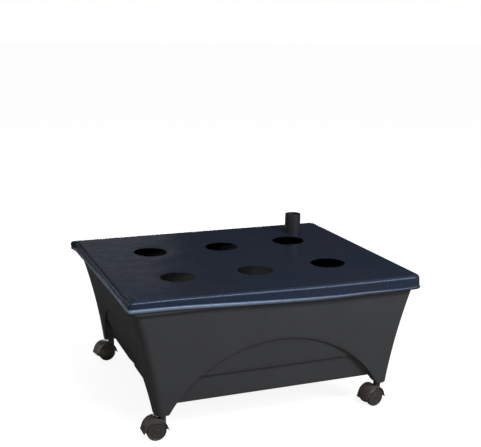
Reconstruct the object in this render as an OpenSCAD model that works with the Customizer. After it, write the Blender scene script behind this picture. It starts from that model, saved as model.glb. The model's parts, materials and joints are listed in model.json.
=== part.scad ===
// Rolling planter: a self-watering tub on four twin-wheel casters, with a film cover over its rim.
// X runs left to right along the front, Y from front to back, Z up. The origin is on the floor,
// under the middle of the tub.

/* [Tub] */
// Length of the tub over its rim, left to right
rim_l = 620; // [560:10:700]
// Width of the tub over its rim, front to back
rim_w = 519; // [470:10:600]
// Height of the rim's top above the feet
tub_h = 238; // [220:1:300]
// Height of the rim's turned-down lip
lip_h = 22; // [16:1:28]
// How far the wall stands in from the rim's outer edge
lip_inset = 7; // [7:0.5:12]
// Wall thickness
wall = 3; // [2:0.5:3.5]
// Radius of the upright corners
corner_r = 17; // [16:1:24]
// Radius of the rim's shoulder
shoulder_r = 6; // [2:0.5:6]
// How far the short sides lean in from rim to feet
side_flare = 47; // [30:1:55]
// How hollow the short sides are, 0 for straight
side_bow = 0.45; // [0:0.05:1]
// How far the long sides lean in from rim to feet
front_flare = 15; // [6:1:24]
// How hollow the long sides are, 0 for straight
front_bow = 0.1; // [0:0.1:1]

/* [Arches and legs] */
// Height of the legs, from the feet to the underside of the floor
leg_h = 18; // [18:1:30]
// Length of a foot along the front
foot_l = 26.5; // [26.5:0.5:32]
// Length of a foot along the side
foot_w = 27; // [26.5:0.5:32]
// Height of the arches above the underside of the floor
arch_h = 114; // [90:1:120]
// Radius of the front and back arches
front_arch_r = 266.5; // [250:0.5:275]
// Radius of the side arches
side_arch_r = 234; // [215:1:245]
// Height of the crease across the arched panels, above the underside of the floor
crease_h = 53; // [44:1:66]
// Depth of the panels behind the wall at the top of the arch
recess_top = 2.5; // [1:0.5:4]
// Depth of the front and back panels just above the crease
front_recess_crease = 6.5; // [5:0.5:9]
// Depth of the front and back panels at their bottom edge
front_recess_foot = 13; // [11:0.5:16]
// Depth of the side panels just above the crease
side_recess_crease = 6; // [3:0.5:8]
// Depth of the side panels at their bottom edge
side_recess_foot = 17; // [13:0.5:18]
// Width of the ledge inside the tub, at the crease, that the screen rests on
ledge_w = 4; // [3:0.5:5]
// Length of the wedge-shaped notch in the side panels' bottom edge
notch_l = 55; // [30:1:70]
// Height of that notch at its front end
notch_h = 9.5; // [2:0.5:12]
// Distance of that end from the middle
notch_y = 19; // [0:1:30]
// How far the notch reaches in under the tub
notch_depth = 25; // [15:1:30]

/* [Overflow hole] */
// Radius of the overflow hole
overflow_r = 6; // [4:0.5:7]
// Height of the overflow hole's centre above the underside of the floor
overflow_h = 34; // [22:1:34]
// Length of the collar round the hole, inside the tub
overflow_collar = 8; // [6:0.5:12]
// Wall of that collar
overflow_wall = 3; // [2:0.5:4]

/* [Aeration screen] */
// Thickness of the screen
screen_t = 3; // [2:0.5:4]
// Gap between the screen and the tub's walls
screen_gap = 0.8; // [0.5:0.1:1.5]
// Radius of the air holes
air_hole_r = 4; // [3:0.5:6]
// Spacing of the air holes
air_pitch = 30; // [26:2:50]
// Radius of the support posts
post_r = 8; // [6:0.5:9]
// Distance of the inner posts from the middle, left to right
post_x = 76; // [60:2:84]
// Distance of the inner posts from the middle, front to back
post_y = 145; // [110:5:170]
// Distance of the outer posts from the middle, left to right
post_end_x = 210; // [200:2:216]
// Distance of the outer posts from the middle, front to back
post_end_y = 95; // [60:5:130]
// Distance of the wicking wells from the middle, left to right
well_x = 150; // [140:2:155]
// Size of a wicking well across its mouth
well_size = 70; // [60:2:84]
// Wall of the wicking wells
well_wall = 2.5; // [2:0.5:4]
// Width of the water slots in the wells
slot_w = 5; // [3:0.5:7]

/* [Fill tube] */
// Outer radius of the fill tube
tube_r = 19; // [14:0.5:22]
// Wall of the fill tube
tube_wall = 2; // [1.5:0.5:3]
// Height of the fill tube above the rim
tube_above = 48; // [20:2:120]
// Width of the water notches at the tube's foot
tube_notch = 12; // [8:1:14]
// Gap round the tube where it passes the screen and the cover
tube_gap = 1; // [0.5:0.1:2]
// Distance of the tube from the back right foot's outer faces, left to right
tube_in_x = 43; // [40:1:60]
// Distance of the tube from the back right foot's outer faces, front to back
tube_in_y = 63.5; // [62:0.5:80]

/* [Cover] */
// Thickness of the film
film_t = 1; // [0.6:0.1:1.2]
// Radius of a planting hole
plant_hole_r = 37.5; // [25:0.5:45]
// Spacing of the planting holes, left to right
plant_pitch_x = 170; // [130:5:180]
// Spacing of the two rows of planting holes
plant_pitch_y = 210; // [150:5:230]
// Height of the hem under the lip
hem_h = 4; // [3.5:0.5:6]
// Thickness of the elastic, up and down
elastic_h = 1.8; // [1:0.1:1.9]
// Width of the elastic
elastic_w = 3; // [2:0.5:3.5]

/* [Casters] */
// Height of a mounted caster, from the floor to the foot
caster_h = 50; // [46:0.5:60]
// Wheel radius
wheel_r = 20; // [17:0.5:20]
// Width of one wheel
wheel_w = 10.5; // [8:0.5:14]
// Distance from the stem's axis to the axle
trail = 15; // [12:0.5:18]
// Thickness of the hood's middle plate
fork_t = 11; // [10:0.5:14]
// Thickness of the hood's fender
fender_t = 2.3; // [1.5:0.1:3]
// Height of the fender's tips above the floor
fender_tip_z = 16.5; // [12:0.5:20]
// How far the fender opens out at its tips
fender_flare = 2.5; // [0:0.5:4]
// Thickness of the tips
fender_edge = 0.6; // [0.4:0.1:1.5]
// Radius of the middle plate below the tips
fork_r = 16; // [12:0.5:16]
// Radius of the neck under the foot
neck_r = 7.5; // [6.5:0.1:8.5]
// Radius of the axle
axle_r = 2.5; // [2:0.1:3]
// Gap between a wheel and the plate
wheel_side_gap = 0.5; // [0.4:0.1:1]
// Gap between a wheel and the fender
wheel_top_gap = 1.2; // [0.8:0.1:2]
// Running clearance of the axle and of the stem, on the radius
run_gap = 0.05; // [0.02:0.01:0.1]
// Distance of the stem's axis from the foot's outer faces
stem_in = 17; // [15:0.5:17.5]
// Radius of the stem's upper part, in the socket
stem_r = 5.45; // [5:0.05:5.5]
// Length of the stem above the foot
stem_l = 22; // [18:1:23]
// Radius of the stem's lower part, in the hood
pivot_r = 3.5; // [3:0.1:3.5]
// Radius of the stem's washer-like collar
collar_r = 7.5; // [6.5:0.1:8.5]
// Radius of the socket in the foot
socket_r = 5.6; // [5.6:0.05:5.7]
// Wall of the socket
socket_wall = 2.8; // [2.5:0.1:3]
// Swivel of the front left caster at rest, in degrees
swivel_front_left = 0; // [-180:1:180]
// Swivel of the front right caster at rest
swivel_front_right = 12; // [-180:1:180]
// Swivel of the back left caster at rest
swivel_back_left = 9; // [-180:1:180]
// Swivel of the back right caster at rest
swivel_back_right = 5; // [-180:1:180]

/* [Hidden] */
$fn = 64;
eps = 1;  // how far a cutter runs past the face it cuts

// Heights above the floor
foot_z = caster_h;
floor_z = foot_z + leg_h;
floor_top = floor_z + wall;
crease_z = floor_z + crease_h;
arch_z = floor_z + arch_h;
rim_z = foot_z + tub_h;
lip_z = rim_z - lip_h;

// The wall's shape: how far it stands in from the rim's edge at height z
function lean(z, bow) = let (t = max(0, (lip_z - z) / (lip_z - foot_z))) t + bow * t * (1 - t);
function side_inset(z) = lip_inset + side_flare * lean(z, side_bow);
function front_inset(z) = lip_inset + front_flare * lean(z, front_bow);
function half_x(z) = rim_l / 2 - side_inset(z);
function half_y(z) = rim_w / 2 - front_inset(z);

// The stem's place and what stands round it
stem_x = half_x(foot_z) - stem_in;
stem_y = half_y(foot_z) - stem_in;
FRONT_LEFT = [-1, -1, swivel_front_left];
FRONT_RIGHT = [1, -1, swivel_front_right];
BACK_LEFT = [-1, 1, swivel_back_left];
BACK_RIGHT = [1, 1, swivel_back_right];
socket_end = 1;  // room above the stem, in the socket
ring_h = 3;  // height of the grip ring
ring_groove = 1;  // depth of its groove in the stem
ring_z = foot_z + stem_l - 5 - ring_h;  // bottom of the grip ring
ring_play = 0.02;  // clearance round the grip ring
ring_slit = 2;  // width of the slit in the grip ring
neck_gap = 0.6;  // between the neck and the stem's collar
collar_t = 1.6;  // thickness of the stem's collar
neck_top = foot_z - collar_t - neck_gap;
pivot_bottom = wheel_r - 3;  // lower end of the stem
pivot_end_gap = 0.5;  // room under the stem, in the hood

// The wheels' places along the axle
wheel_face = fork_t / 2 + wheel_side_gap;
hood_half = wheel_face + wheel_w;
wheel_space_r = wheel_r + wheel_top_gap;
fender_r = wheel_space_r + fender_t;
wheel_skin = 2.5;  // what is left of the wheel outside its blind bore
wheel_edge = 1.2;  // chamfer of the tread
dish_depth = 0.8;  // shallow dish in the wheel's outer face
dish_r = wheel_r - 4;
hub_r = axle_r + 3.5;
web_depth = wheel_w - 4.5;  // hollow between hub and tread, on the inner face
tread_r = wheel_r - 4;  // inner radius of the tread

// The cover hugs the rim, and its hem turns in under the lip
hem_z = lip_z - hem_h;
hem_in = lip_inset - 1.5;  // how far the hem reaches in, clear of the wall
elastic_play = 0.1;  // round the elastic, in the hem

// The fill tube and the screen
tube_x = half_x(foot_z) - tube_in_x;
tube_y = half_y(foot_z) - tube_in_y;
screen_z = crease_z + wall;
keep_clear = 4;  // solid screen left round posts, wells and the tube

// Rounded rectangle as a list of points, counter-clockwise from above
corner_steps = 8;
function rounded(hx, hy, r, z) = [
    for (c = [0:3], s = [0:corner_steps])
        let (a = 90 * c + 90 * s / corner_steps, sx = (c == 0 || c == 3) ? 1 : -1, sy = c < 2 ? 1 : -1)
        [sx * (hx - r) + r * cos(a), sy * (hy - r) + r * sin(a), z]
];

// Solid through a stack of rounded rectangles, each [z, half length, half width]
module loft(levels, r) {
    n = 4 * (corner_steps + 1);
    top = len(levels) - 1;
    points = [for (v = levels) each rounded(v[1], v[2], r, v[0])];
    sides = [
        for (i = [0:top - 1], j = [0:n - 1])
            let (k = (j + 1) % n) [i * n + j, (i + 1) * n + j, (i + 1) * n + k, i * n + k]
    ];
    bottom_cap = [for (j = [0:n - 1]) j];
    top_cap = [for (j = [n - 1:-1:0]) top * n + j];
    polyhedron(points, concat([bottom_cap], sides, [top_cap]));
}

// The flared body between two heights, drawn in by inset, and straight above the lip
wall_steps = 12;
module flared(z0, z1, inset) {
    heights = [for (i = [0:wall_steps]) z0 + (lip_z - z0) * i / wall_steps];
    loft([for (z = concat(heights, [z1])) [z, half_x(z) - inset, half_y(z) - inset]], corner_r - inset);
}

// The rim's outside with its rounded shoulder, grown outwards by grow
shoulder_steps = 4;
module rim_block(z0, grow) {
    r = shoulder_r + grow;
    hx = rim_l / 2 + grow;
    hy = rim_w / 2 + grow;
    turn = [
        for (i = [0:shoulder_steps])
            let (a = 90 * i / shoulder_steps, in = r * (1 - cos(a)))
            [rim_z - shoulder_r + r * sin(a), hx - in, hy - in]
    ];
    loft(concat([[z0, hx, hy]], turn), corner_r + grow);
}

// Straight rounded block between two heights, drawn in from the rim's edge by inset
module rim_slab(z0, z1, inset) {
    hx = rim_l / 2 - inset;
    hy = rim_w / 2 - inset;
    loft([[z0, hx, hy], [z1, hx, hy]], max(1, corner_r - inset));
}

// Outline of the opening under the floor, from the side, grown into the tub by grow
module gate(arch_r, foot_end, grow) {
    rise = floor_z - (arch_z - arch_r);
    span = sqrt(pow(arch_r, 2) - pow(rise, 2));
    low = foot_z - eps;
    polygon([
        [-span - grow, floor_z + grow], [-foot_end - grow, foot_z], [-foot_end - grow, low],
        [foot_end + grow, low], [foot_end + grow, foot_z], [span + grow, floor_z + grow]
    ]);
}

// Outline of the arch above the floor, from the side, grown by grow
module arch(arch_r, grow) {
    intersection() {
        translate([0, arch_z - arch_r]) circle(arch_r + grow, $fn = 180);
        translate([-arch_r, floor_z]) square([2 * arch_r, arch_h + eps + grow]);
    }
}

// The recess of one arched panel, in a wall that faces -Y; half is the rim's half width there,
// insets are the panel's own at the arch's top, just above the crease and at the bottom edge
module recess(half, insets, arch_r, grow) {
    faces = [for (v = insets) -half + v + grow];
    out = -half - eps;
    intersection() {
        rotate([90, 0, 0]) linear_extrude(2 * half + 2 * eps, center = true) arch(arch_r, grow);
        rotate([90, 0, 90]) linear_extrude(2 * arch_r, center = true) polygon([
            [out, floor_z - eps], [faces[2], floor_z - eps], [faces[2], floor_z],
            [faces[1] + ledge_w, crease_z + grow], [faces[1], crease_z + grow],
            [faces[0], arch_z + eps + grow], [out, arch_z + eps + grow]
        ]);
    }
}

front_insets = [
    front_inset(arch_z) + recess_top,
    front_inset(crease_z) + front_recess_crease,
    front_inset(floor_z) + front_recess_foot
];
side_insets = [
    side_inset(arch_z) + recess_top,
    side_inset(crease_z) + side_recess_crease,
    side_inset(floor_z) + side_recess_foot
];

// The wedge-shaped notch in the left panel's bottom edge, grown into the tub by grow
module notch(grow) {
    reach = side_insets[2] + notch_depth + grow;
    back = notch_l - notch_y;
    translate([-rim_l / 2, 0, 0]) rotate([90, 0, 90]) linear_extrude(reach) offset(delta = grow) polygon([
        [-notch_y, floor_z - eps], [back, floor_z - eps], [back, floor_z], [-notch_y, floor_z + notch_h]
    ]);
}

// Everything the arches take away: the four recesses, the notches and the space between the legs
module arches(grow) {
    for (side = [0, 1]) {
        mirror([0, side, 0]) recess(rim_w / 2, front_insets, front_arch_r, grow);
        mirror([side, 0, 0]) rotate(-90) recess(rim_l / 2, side_insets, side_arch_r, grow);
        mirror([side, 0, 0]) notch(grow);
    }
    front_end = half_x(foot_z) - foot_l;
    side_end = half_y(foot_z) - foot_w;
    rotate([90, 0, 0]) linear_extrude(rim_w, center = true) gate(front_arch_r, front_end, grow);
    rotate([90, 0, 90]) linear_extrude(rim_l, center = true) gate(side_arch_r, side_end, grow);
}

// The space inside the tub, drawn in from the outer skin by inset
module inner_space(inset) {
    difference() {
        flared(foot_z + inset, rim_z + eps, inset);
        arches(inset);
    }
}

module at_stem(corner) {
    translate([corner[0] * stem_x, corner[1] * stem_y, 0]) children();
}

// Puts the overflow hole's pieces where its axis meets the left panel
module overflow_at() {
    slope = (side_insets[2] - side_insets[1] - ledge_w) / crease_h;
    inset = side_insets[2] - slope * overflow_h;
    translate([-rim_l / 2 + inset, 0, floor_z + overflow_h]) rotate([0, 90, 0]) children();
}

module tub() {
    color("#3d3e42") difference() {
        union() {
            difference() {
                union() {
                    difference() {
                        rim_block(lip_z, 0);
                        rim_slab(lip_z - eps, rim_z - wall, wall);
                    }
                    flared(foot_z, rim_z - wall / 2, 0);
                }
                arches(0);
                inner_space(wall);
            }
            for (c = [FRONT_LEFT, FRONT_RIGHT, BACK_LEFT, BACK_RIGHT])
                at_stem(c) translate([0, 0, foot_z])
                    cylinder(h = stem_l + socket_end + wall, r = socket_r + socket_wall);
            overflow_at() translate([0, 0, wall / 2])
                cylinder(h = overflow_collar - wall / 2, r = overflow_r + overflow_wall);
        }
        for (c = [FRONT_LEFT, FRONT_RIGHT, BACK_LEFT, BACK_RIGHT])
            at_stem(c) translate([0, 0, foot_z - eps])
                cylinder(h = stem_l + socket_end + eps, r = socket_r);
        overflow_at() translate([0, 0, -side_flare])
            cylinder(h = side_flare + overflow_collar + eps, r = overflow_r);
    }
}

module plant_holes() {
    for (i = [-1:1], j = [-0.5, 0.5])
        translate([i * plant_pitch_x, j * plant_pitch_y, 0]) children();
}

module mulch_cover() {
    color("#333b4c") difference() {
        rim_block(hem_z, film_t);
        rim_block(lip_z, 0);
        rim_slab(hem_z - eps, lip_z + eps, hem_in);
        elastic_ring(elastic_play);
        plant_holes() translate([0, 0, rim_z - eps]) cylinder(h = film_t + 2 * eps, r = plant_hole_r);
        translate([tube_x, tube_y, rim_z - eps])
            cylinder(h = film_t + 2 * eps, r = tube_r + tube_gap);
    }
}

// Flat ring in the middle of the hem, grown all round by grow
module elastic_ring(grow) {
    middle = (hem_in - film_t) / 2;
    z0 = hem_z + (hem_h - elastic_h) / 2 - grow;
    z1 = hem_z + (hem_h + elastic_h) / 2 + grow;
    difference() {
        rim_slab(z0, z1, middle - elastic_w / 2 - grow);
        rim_slab(z0 - eps, z1 + eps, middle + elastic_w / 2 + grow);
    }
}

module hem_elastic() {
    color("#22242a") elastic_ring(0);
}

module wells() {
    for (side = [-1, 1]) translate([side * well_x, 0, 0]) children();
}

module posts() {
    for (x = [-post_x, post_x], y = [-post_y, 0, post_y]) translate([x, y, 0]) children();
    for (x = [-post_end_x, post_end_x], y = [-post_end_y, post_end_y]) translate([x, y, 0]) children();
}

// One wicking well: an open-topped box with upright water slots in its four sides
module well() {
    inner = well_size - 2 * well_wall;
    depth = screen_z + screen_t - floor_top;
    slot_h = depth / 2;
    difference() {
        translate([-well_size / 2, -well_size / 2, floor_top]) cube([well_size, well_size, depth]);
        translate([-inner / 2, -inner / 2, floor_top + well_wall]) cube([inner, inner, depth]);
        for (turn = [0, 90], i = [-1:1])
            rotate(turn) translate([i * well_size / 4, 0, floor_top + well_wall + slot_h / 2])
                cube([slot_w, well_size + 2 * eps, slot_h], center = true);
    }
}

function near(p, q, r) = norm(p - q) < r;

// True where an air hole would weaken what stands under the screen
function blocked(p) =
    let (post_room = post_r + air_hole_r + keep_clear, well_room = well_size / 2 + air_hole_r + keep_clear)
    let (tube_room = tube_r + tube_gap + air_hole_r + keep_clear)
    max([for (x = [-post_x, post_x], y = [-post_y, 0, post_y]) near(p, [x, y], post_room) ? 1 : 0]) > 0
    || near([abs(p[0]), abs(p[1])], [post_end_x, post_end_y], post_room)
    || max(abs(abs(p[0]) - well_x), abs(p[1])) < well_room
    || near(p, [tube_x, tube_y], tube_room);

module aeration_screen() {
    reach_x = half_x(crease_z) - side_recess_crease - wall - air_hole_r - keep_clear;
    reach_y = half_y(crease_z) - front_recess_crease - wall - air_hole_r - keep_clear;
    nx = floor(reach_x / air_pitch);
    ny = floor(reach_y / air_pitch);
    color("#26282b") union() {
        difference() {
            // The tub's inside just above the ledge, lowered onto the ledge
            translate([0, 0, -eps]) intersection() {
                inner_space(wall + screen_gap);
                translate([-rim_l / 2, -rim_w / 2, screen_z + eps]) cube([rim_l, rim_w, screen_t]);
            }
            for (i = [-nx:nx], j = [-ny:ny])
                if (!blocked([i, j] * air_pitch))
                    translate([i * air_pitch, j * air_pitch, screen_z - eps])
                        cylinder(h = screen_t + 2 * eps, r = air_hole_r, $fn = 24);
            wells() translate([0, 0, screen_z])
                cube([well_size - eps, well_size - eps, 3 * screen_t], center = true);
            translate([tube_x, tube_y, screen_z - eps])
                cylinder(h = screen_t + 2 * eps, r = tube_r + tube_gap);
        }
        wells() well();
        posts() translate([0, 0, floor_top]) cylinder(h = screen_z - floor_top + eps, r = post_r);
    }
}

module fill_tube() {
    color("#2b2d30") translate([tube_x, tube_y, floor_top]) difference() {
        cylinder(h = rim_z + tube_above - floor_top, r = tube_r);
        translate([0, 0, -eps])
            cylinder(h = rim_z + tube_above - floor_top + 2 * eps, r = tube_r - tube_wall);
        for (turn = [0, 90])
            rotate(turn) cube([tube_notch, 2 * tube_r + 2 * eps, 2 * tube_notch], center = true);
    }
}

// Split ring in the stem's groove; the socket holds it
module grip_ring(corner) {
    color("#8a8c8f") at_stem(corner) translate([0, 0, ring_z + ring_play]) difference() {
        cylinder(h = ring_h - 2 * ring_play, r = socket_r - ring_play);
        translate([0, 0, -eps]) cylinder(h = ring_h + 2 * eps, r = stem_r - ring_groove + ring_play);
        translate([-ring_slit / 2, 0, -eps]) cube([ring_slit, socket_r + eps, ring_h + 2 * eps]);
    }
}

module stem(corner) {
    groove_r = stem_r - ring_groove;
    tip = 1;  // chamfer at both ends
    color("#9a9c9f") at_stem(corner) rotate_extrude() polygon([
        [0, pivot_bottom], [pivot_r - tip, pivot_bottom], [pivot_r, pivot_bottom + tip],
        [pivot_r, foot_z - collar_t], [collar_r, foot_z - collar_t], [collar_r, foot_z],
        [stem_r, foot_z], [stem_r, ring_z], [groove_r, ring_z], [groove_r, ring_z + ring_h],
        [stem_r, ring_z + ring_h], [stem_r, foot_z + stem_l - tip], [stem_r - tip, foot_z + stem_l],
        [0, foot_z + stem_l]
    ]);
}

// Puts a caster piece, drawn round the axle with the axle along Y, under its stem
module at_axle(corner) {
    at_stem(corner) rotate(corner[2]) translate([-trail, 0, wheel_r]) children();
}

// Round bar along the axle, between two places on it
module bar(y0, y1, r) {
    translate([0, y0, 0]) rotate([-90, 0, 0]) cylinder(h = y1 - y0, r = r);
}

// Bar along the axle, between two places on it, with a side view that opens out from a circle to two tips
module fender(y0, y1, r, tip_x, tip) {
    translate([0, y1, 0]) rotate([90, 0, 0]) linear_extrude(y1 - y0) hull() {
        circle(r);
        polygon([[0, 0], [-tip_x, tip], [tip_x, tip]]);
    }
}

module hood(corner) {
    tip = fender_tip_z - wheel_r;
    tip_x = fender_r + fender_flare;
    color("#35302e") at_axle(corner) difference() {
        union() {
            // The fender over both wheels, and the neck up to the stem's collar
            difference() {
                union() {
                    fender(-hood_half, hood_half, fender_r, tip_x, tip);
                    translate([trail, 0, tip]) cylinder(h = neck_top - wheel_r - tip, r = neck_r);
                }
                for (side = [0, 1])
                    mirror([0, side, 0])
                        fender(fork_t / 2, hood_half + eps, wheel_space_r, tip_x - fender_edge, tip);
                translate([-2 * wheel_r, -2 * wheel_r, tip - 4 * wheel_r])
                    cube(4 * wheel_r);
            }
            // The plate between the wheels
            bar(-fork_t / 2, fork_t / 2, fork_r);
        }
        translate([trail, 0, pivot_bottom - pivot_end_gap - wheel_r])
            cylinder(h = foot_z, r = pivot_r + run_gap);
        bar(-hood_half, hood_half, axle_r);
    }
}

axle_half = hood_half - wheel_skin - pivot_end_gap;
module axle(corner) {
    color("#9a9c9f") at_axle(corner) bar(-axle_half, axle_half, axle_r);
}

// One wheel, turned about its axis from the inner face to the outer face
module wheel(corner, side) {
    bore_r = axle_r + run_gap;
    bore_l = wheel_w - wheel_skin;
    lip_w = 0.6;  // slope of the dish's edge
    draft = 0.5;  // slope of the hollow's walls
    color("#413b39") at_axle(corner)
        mirror([0, side < 0 ? 1 : 0, 0]) translate([0, wheel_face, 0]) rotate([-90, 0, 0])
            rotate_extrude($fn = 96) polygon([
                [bore_r, 0], [hub_r, 0], [hub_r + draft, web_depth], [tread_r - draft, web_depth],
                [tread_r, 0], [wheel_r - wheel_edge, 0], [wheel_r, wheel_edge],
                [wheel_r, wheel_w - wheel_edge], [wheel_r - wheel_edge, wheel_w],
                [dish_r + lip_w, wheel_w], [dish_r, wheel_w - dish_depth],
                [0, wheel_w - dish_depth], [0, bore_l], [bore_r, bore_l]
            ]);
}

tub();
mulch_cover();
hem_elastic();
aeration_screen();
fill_tube();
grip_ring(FRONT_LEFT);  // front_left_grip_ring
stem(FRONT_LEFT);  // front_left_stem
hood(FRONT_LEFT);  // front_left_hood
axle(FRONT_LEFT);  // front_left_axle
wheel(FRONT_LEFT, -1);  // front_left_wheel_front
wheel(FRONT_LEFT, 1);  // front_left_wheel_rear
grip_ring(FRONT_RIGHT);  // front_right_grip_ring
stem(FRONT_RIGHT);  // front_right_stem
hood(FRONT_RIGHT);  // front_right_hood
axle(FRONT_RIGHT);  // front_right_axle
wheel(FRONT_RIGHT, -1);  // front_right_wheel_front
wheel(FRONT_RIGHT, 1);  // front_right_wheel_rear
grip_ring(BACK_LEFT);  // back_left_grip_ring
stem(BACK_LEFT);  // back_left_stem
hood(BACK_LEFT);  // back_left_hood
axle(BACK_LEFT);  // back_left_axle
wheel(BACK_LEFT, -1);  // back_left_wheel_front
wheel(BACK_LEFT, 1);  // back_left_wheel_rear
grip_ring(BACK_RIGHT);  // back_right_grip_ring
stem(BACK_RIGHT);  // back_right_stem
hood(BACK_RIGHT);  // back_right_hood
axle(BACK_RIGHT);  // back_right_axle
wheel(BACK_RIGHT, -1);  // back_right_wheel_front
wheel(BACK_RIGHT, 1);  // back_right_wheel_rear
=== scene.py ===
import json
import math

import bmesh
import bpy
from bpy.props import FloatProperty, FloatVectorProperty, PointerProperty
from mathutils import Matrix, Vector, noise


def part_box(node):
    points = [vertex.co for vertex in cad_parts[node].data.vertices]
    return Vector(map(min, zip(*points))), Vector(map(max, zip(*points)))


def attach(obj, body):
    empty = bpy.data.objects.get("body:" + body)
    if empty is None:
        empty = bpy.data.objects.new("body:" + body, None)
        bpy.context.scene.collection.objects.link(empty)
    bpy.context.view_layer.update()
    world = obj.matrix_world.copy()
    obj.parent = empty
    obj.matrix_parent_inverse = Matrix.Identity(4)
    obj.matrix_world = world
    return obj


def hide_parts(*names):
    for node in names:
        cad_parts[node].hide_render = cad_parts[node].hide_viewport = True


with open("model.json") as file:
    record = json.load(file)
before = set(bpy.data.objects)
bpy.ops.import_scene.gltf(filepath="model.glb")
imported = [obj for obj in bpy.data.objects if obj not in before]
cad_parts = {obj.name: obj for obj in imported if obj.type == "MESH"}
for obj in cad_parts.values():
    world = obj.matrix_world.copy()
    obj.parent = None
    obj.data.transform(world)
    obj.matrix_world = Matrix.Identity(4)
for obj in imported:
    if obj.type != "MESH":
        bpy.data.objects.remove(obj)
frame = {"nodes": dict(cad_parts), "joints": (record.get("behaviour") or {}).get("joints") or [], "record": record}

bl_info = {
    "name": "Rolling planter",
    "version": (1, 0, 0),
    "blender": (4, 5, 0),
    "location": "View3D > Sidebar > Planter",
    "description": "Builds the finished surfaces of a self-watering planter on twin-wheel casters",
    "category": "Add Mesh",
}

MM = 0.001
CORNERS = ("front_left", "front_right", "back_left", "back_right")
BODY_OF = {node: body for body, nodes in frame["record"]["behaviour"]["bodies"].items() for node in nodes}
JOINTS = {joint["name"]: joint for joint in frame["joints"]}
TUB_LOW, TUB_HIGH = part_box("tub")
COVER_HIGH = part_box("mulch_cover")[1]
FOOT_Z = TUB_LOW.z
RIM_Z = TUB_HIGH.z
ELASTIC_GAP = 1.1 * MM  # from the elastic's top up to the lip's bottom edge
LIP_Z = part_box("hem_elastic")[1].z + ELASTIC_GAP
HEM_RUN = 450 * MM      # how far along the front the hem has ridden up, from the front left corner
HEM_SIDE = 0.45         # how fast that fades along the side, as a share of how fast along the front
HIGHLIGHT_FROM, HIGHLIGHT_TO = 0.35, 1.3  # where the hem's painted highlight fades along the front, as shares of HEM_RUN


def linear(code):
    """The linear colour of an sRGB hex code."""
    channels = [int(code[i:i + 2], 16) / 255 for i in (0, 2, 4)]
    return [c / 12.92 if c <= 0.04045 else ((c + 0.055) / 1.055) ** 2.4 for c in channels] + [1.0]


def length(name, description, mm):
    """A size of the planter, given in millimetres."""
    return FloatProperty(name=name, description=description, default=mm * MM, unit="LENGTH", precision=5)


def colour(name, description, code):
    """A colour of the planter, given as an sRGB hex code."""
    return FloatVectorProperty(name=name, description=description, default=linear(code), size=4,
                               subtype="COLOR")


class TubSizes(bpy.types.PropertyGroup):
    """Sizes of the moulded tub"""
    wall: length("Wall", "Thickness of the moulding", 3)
    lip_height: length("Lip height", "Height of the rim's turned-down lip", 22)
    lip_inset: length("Lip inset", "How far the wall stands in from the rim's edge", 7)
    corner: length("Corner radius", "Radius of the upright corners", 17)
    side_flare: length("Side flare", "How far the short sides lean in from rim to feet", 47)
    front_flare: length("Front flare", "How far the long sides lean in from rim to feet", 15)
    side_bow: FloatProperty(name="Side bow", description="How hollow the short sides are", default=0.45)
    front_bow: FloatProperty(name="Front bow", description="How hollow the long sides are", default=0.1)
    leg: length("Leg height", "From the feet to the underside of the floor", 18)
    foot_long: length("Foot length", "Length of a foot along the front", 26.5)
    foot_short: length("Foot width", "Length of a foot along the side", 27)
    arch: length("Arch height", "Height of the arches above the underside of the floor", 114)
    front_arch: length("Front arch radius", "Radius of the front and back arches", 266.5)
    side_arch: length("Side arch radius", "Radius of the side arches", 234)
    crease: length("Crease height", "Height of the panels' crease above the underside of the floor", 53)
    ledge: length("Ledge", "Step of the panels at the crease", 4)
    panel_top: length("Panel depth at the top", "Depth of the panels at the top of the arch", 2.5)
    front_panel_crease: length("Front panel depth", "Depth of the long panels just above the crease", 6.5)
    front_panel_foot: length("Front panel foot depth", "Depth of the long panels at the bottom", 13)
    side_panel_crease: length("Side panel depth", "Depth of the short panels just above the crease", 6)
    side_panel_foot: length("Side panel foot depth", "Depth of the short panels at the bottom", 17)
    edge: length("Edge rounding", "Rounding of the moulded edges", 1.1)
    overflow_radius: length("Overflow hole radius", "Radius of the hole in the left panel", 6)
    overflow_height: length("Overflow hole height", "Height of that hole above the floor's underside", 34)
    overflow_collar: length("Overflow collar", "Length of the collar round that hole, inside the tub", 8)
    socket: length("Socket radius", "Bore for a caster's stem", 5.6)
    socket_wall: length("Socket wall", "Wall of that bore", 2.8)
    notch_long: length("Notch length", "Length of the wedge-shaped notch under the side panels", 55)
    notch_high: length("Notch height", "Height of that notch at its front end", 9.5)
    notch_place: length("Notch place", "Distance of that end from the middle", 19)
    notch_deep: length("Notch depth", "How far the notch reaches in under the tub", 25)


class CoverSizes(bpy.types.PropertyGroup):
    """Sizes of the film cover"""
    thickness: length("Film", "Thickness of the film, drawn thicker than the real one", 0.5)
    corner: length("Corner radius", "Radius of the cover's upright corners", 18)
    shoulder: length("Shoulder radius", "Rounding where the film turns down over the rim", 7.5)
    hole: length("Planting hole radius", "Radius of a planting hole", 37.5)
    pitch_long: length("Hole spacing, long way", "Spacing of the planting holes, left to right", 170)
    pitch_short: length("Hole spacing, short way", "Spacing of the two rows of planting holes", 210)
    bead: length("Hem radius", "Radius of the hem round its elastic, where it is tucked under the lip", 2.3)
    bead_loose: length("Loose hem radius", "Radius of the hem where it hangs loose", 3.7)
    ride_up: length("Hem ride", "How far the hem rides up the lip at the front left corner", 11)
    hang: length("Hem hang", "How far the hem hangs below the lip where it has not ridden up", 3)
    lift: length("Lift", "How far the film's front edge stands up off the rim at the front left corner", 6)
    sag: length("Sag", "How far the film hangs through in the middle", 3)
    ripple: length("Ripple", "Depth of the film's pull wrinkles", 0.5)
    sharp: FloatProperty(name="Sharpness", description="How square the left corners are", default=8)
    sharp_right: FloatProperty(name="Right sharpness", description="The same on the right", default=2.6)
    ear: length("Ear", "How far the film stands out to the left at its back left corner", 14)


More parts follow.
